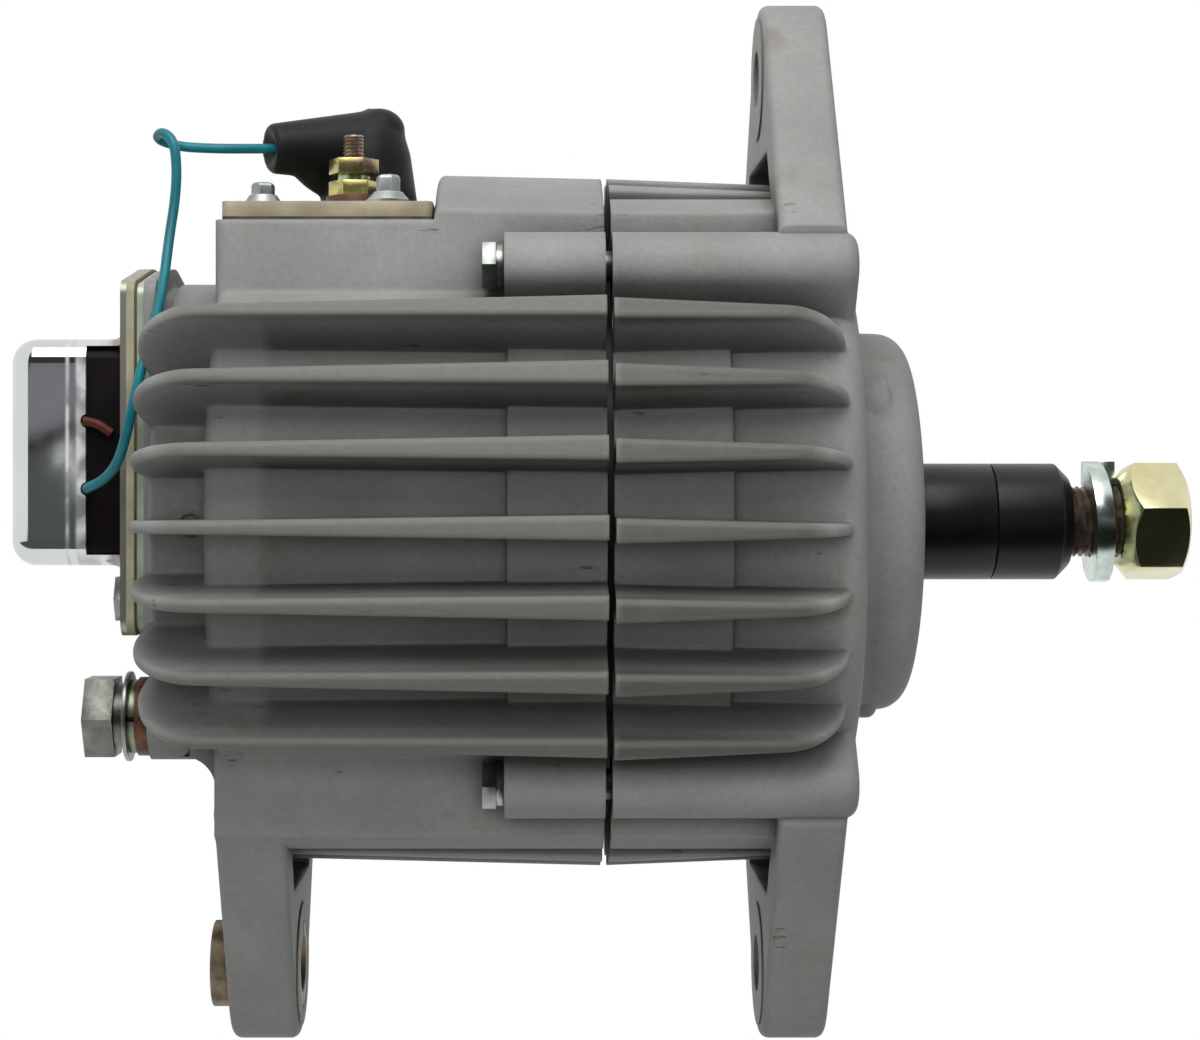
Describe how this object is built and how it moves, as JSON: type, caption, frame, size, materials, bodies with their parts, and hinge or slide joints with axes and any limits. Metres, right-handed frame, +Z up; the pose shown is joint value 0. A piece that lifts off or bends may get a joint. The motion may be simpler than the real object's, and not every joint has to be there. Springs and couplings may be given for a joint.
{
  "type": "alternator",
  "caption": "Finned, totally enclosed alternator with hinge foot and ear, adjusting ear, plain shaft sleeves and a regulator on its rear end.",
  "frame": {"origin": "on the shaft axis, at the flat face of the drive-end nose where the shaft sleeves or a pulley start", "axes": "+X along the shaft towards the drive end, +Z up towards the terminals and the adjusting ear, -Y towards the side that shows the leads"},
  "size_m": [0.257, 0.1526, 0.231],
  "materials": {
    "casting": "blasted casting, stained and pitted",
    "zinc_steel": "bright zinc plate",
    "yellow_zinc": "yellow zinc plate",
    "bushing_steel": "plain turned steel",
    "bearing_steel": "ground",
    "cage_steel": "pressed",
    "shaft_steel": "turned, threaded",
    "claw_iron": "machined",
    "winding_wire": "enamelled copper wire",
    "black_steel": "black oxide, satin",
    "seal_rubber": "satin",
    "boot_rubber": "satin",
    "moulded_black": "moulded",
    "ring_copper": "turned copper",
    "brush_carbon": "pressed carbon",
    "spring_steel": "drawn wire",
    "sink_aluminium": "plain plate",
    "diode_metal": "plated can",
    "gasket_paper": "pressed fibre",
    "plate_aluminium": "plain plate",
    "tan_board": "laminated board",
    "bright_cover": "bright stamped",
    "potting_black": "cast compound",
    "green_insulation": "extruded insulation",
    "red_insulation": "extruded insulation"
  },
  "bodies": {
    "housing": {"auxiliary_lock_washer": "zinc_steel", "auxiliary_nuts": "yellow_zinc", "auxiliary_stud": "yellow_zinc", "bearing_retainer": "zinc_steel", "brush_holder": "moulded_black", "drive_end_housing": "casting", "front_bearing_outer_ring": "bearing_steel", "front_brush_spring": "spring_steel", "green_lead": "green_insulation", "ground_bolt": "yellow_zinc", "ground_contact_ring": "ring_copper", "ground_lock_washer": "zinc_steel", "ground_washer": "zinc_steel", "lead_terminal": "zinc_steel", "negative_heat_sink": "sink_aluminium", "output_nuts": "yellow_zinc", "output_stud": "yellow_zinc", "positive_heat_sink": "sink_aluminium", "rear_bearing_outer_ring": "bearing_steel", "rear_brush_spring": "spring_steel", "rear_housing": "casting", "rectifier_diodes": "diode_metal", "red_lead": "red_insulation", "regulator_adapter": "plate_aluminium", "regulator_cover": "bright_cover", "regulator_gasket": "gasket_paper", "regulator_plate": "tan_board", "regulator_potting": "potting_black", "regulator_screws": "zinc_steel", "retainer_screws": "zinc_steel", "rubber_boot": "boot_rubber", "shaft_seal": "seal_rubber", "stator_core": "claw_iron", "stator_windings": "winding_wire", "stud_insulators": "moulded_black", "terminal_gasket": "gasket_paper", "terminal_plate": "plate_aluminium", "terminal_screws": "zinc_steel", "through_bolt_washers": "zinc_steel", "through_bolts": "zinc_steel"},
    "rotor": {"rotor_shaft": "shaft_steel", "rear_claw_pole": "claw_iron", "front_claw_pole": "claw_iron", "field_coil": "winding_wire", "coil_bobbin": "moulded_black", "slip_ring_sleeve": "moulded_black", "slip_rings": "ring_copper", "front_bearing_inner_ring": "bearing_steel", "rear_bearing_inner_ring": "bearing_steel", "inner_spacer": "black_steel", "outer_spacer": "black_steel", "shaft_lock_washer": "zinc_steel", "shaft_nut": "yellow_zinc"},
    "front_ball_set": {"front_bearing_balls": "bearing_steel", "front_bearing_cage": "cage_steel"},
    "rear_ball_set": {"rear_bearing_balls": "bearing_steel", "rear_bearing_cage": "cage_steel"},
    "front_brush_slider": {"front_brush": "brush_carbon"},
    "rear_brush_slider": {"rear_brush": "brush_carbon"},
    "foot_sleeve": {"adjusting_bushing": "bushing_steel"}
  },
  "joints": [
    {"name": "rotor_spin", "type": "hinge", "parent": "housing", "child": "rotor", "pos_m": [0, 0, 0], "axis": [1, 0, 0], "continuous": true},
    {"name": "front_balls_spin", "type": "hinge", "parent": "housing", "child": "front_ball_set", "pos_m": [0, 0, 0], "axis": [1, 0, 0], "continuous": true},
    {"name": "rear_balls_spin", "type": "hinge", "parent": "housing", "child": "rear_ball_set", "pos_m": [0, 0, 0], "axis": [1, 0, 0], "continuous": true},
    {"name": "front_brush_slide", "type": "slide", "parent": "housing", "child": "front_brush_slider", "axis": [0, 0, 1], "range_m": [0, 0.004], "stiffness_N_per_m": 300, "springref_m": -0.01, "deforming": ["front_brush_spring"]},
    {"name": "rear_brush_slide", "type": "slide", "parent": "housing", "child": "rear_brush_slider", "axis": [0, 0, 1], "range_m": [0, 0.004], "stiffness_N_per_m": 300, "springref_m": -0.01, "deforming": ["rear_brush_spring"]},
    {"name": "foot_sleeve_slide", "type": "slide", "parent": "housing", "child": "foot_sleeve", "axis": [1, 0, 0], "range_m": [0, 0.0035]}
  ],
  "couplings": [
    {"joint": "front_balls_spin", "follows": "rotor_spin", "ratio": 0.37126},
    {"joint": "rear_balls_spin", "follows": "rotor_spin", "ratio": 0.38421}
  ]
}
